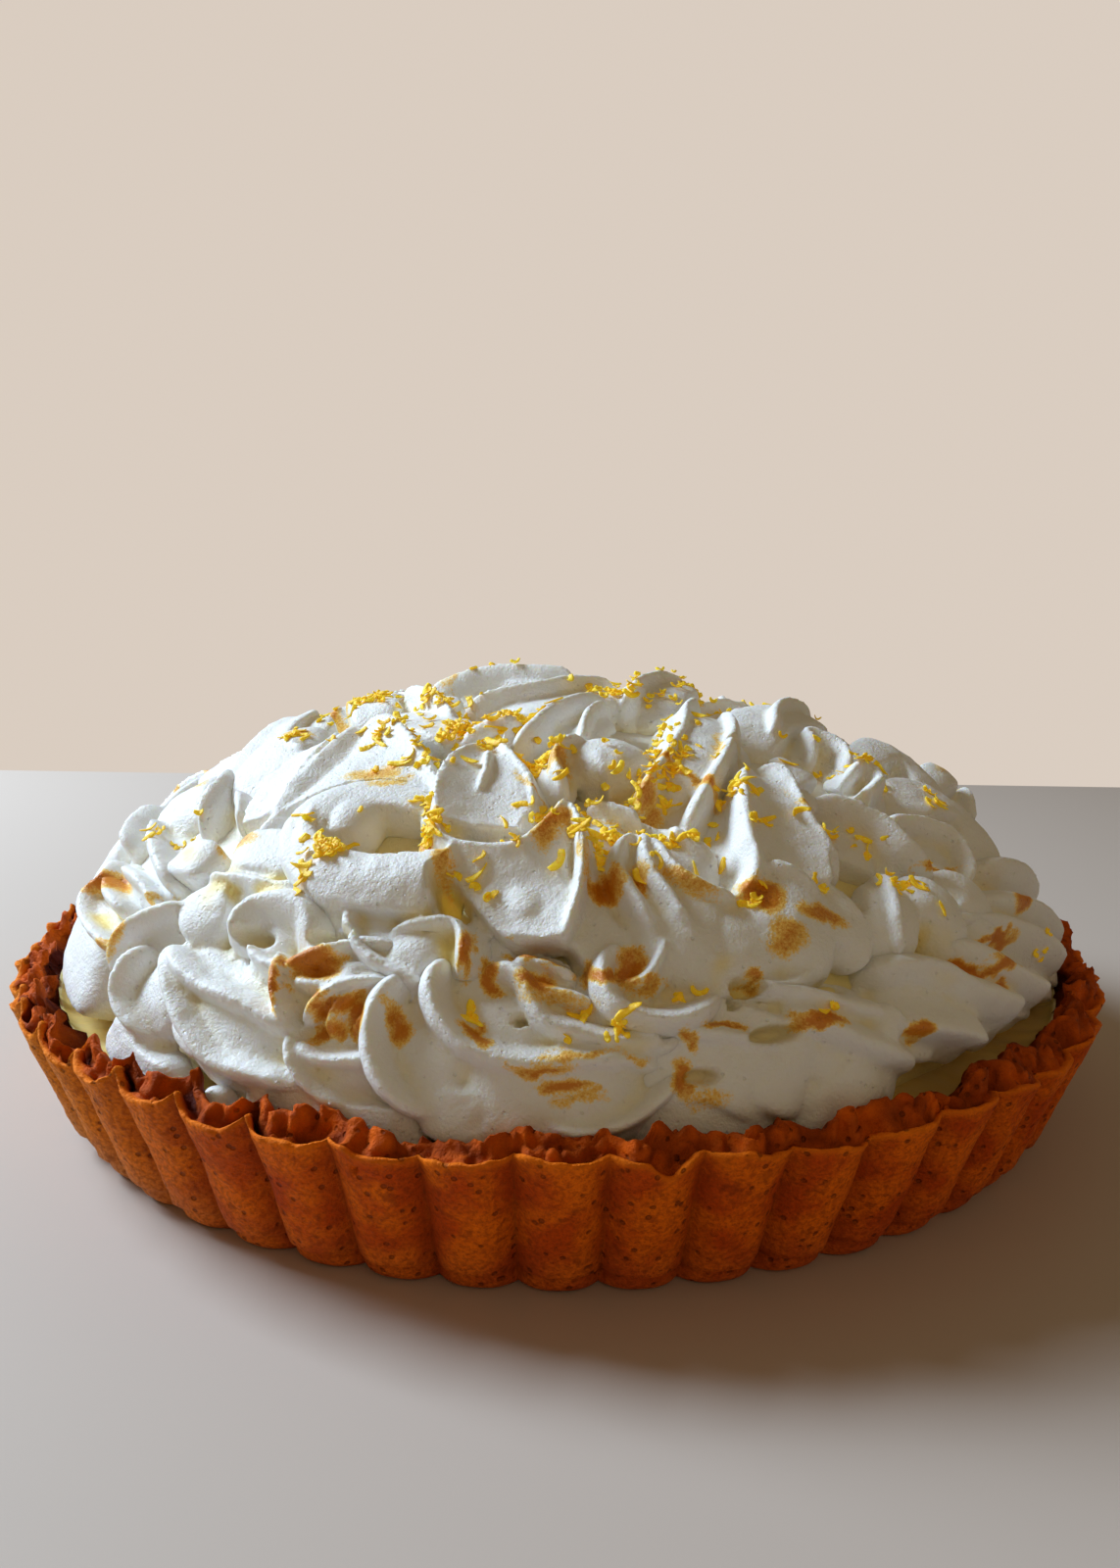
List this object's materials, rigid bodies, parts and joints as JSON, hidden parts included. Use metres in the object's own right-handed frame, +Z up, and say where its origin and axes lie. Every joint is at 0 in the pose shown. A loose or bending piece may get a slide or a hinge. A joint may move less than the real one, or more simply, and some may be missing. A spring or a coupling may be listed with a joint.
{
  "type": "lemon meringue pie",
  "caption": "Whole round pie in a fluted sweet crust, filled with lemon curd and heaped with a domed mound of piped, torched meringue",
  "frame": {"origin": "middle of the crust's flat underside", "axes": "+Z up through the middle of the pie, the side with the lowest lobe of meringue towards -Y"},
  "size_m": [0.2759, 0.2758, 0.1019],
  "materials": {
    "baked_crust": "golden-brown baked shortcrust, fine grained and matte, darker and torn at the lip",
    "lemon_curd": "pale yellow set lemon curd, translucent, soft sheen",
    "whipped_meringue": "white whipped meringue, satin, with small torched golden-brown patches",
    "lemon_zest": "fine strands of fresh yellow lemon zest"
  },
  "bodies": {
    "root": {"crust": "baked_crust", "lemon_curd": "lemon_curd", "meringue": "whipped_meringue"}
  },
  "joints": []
}
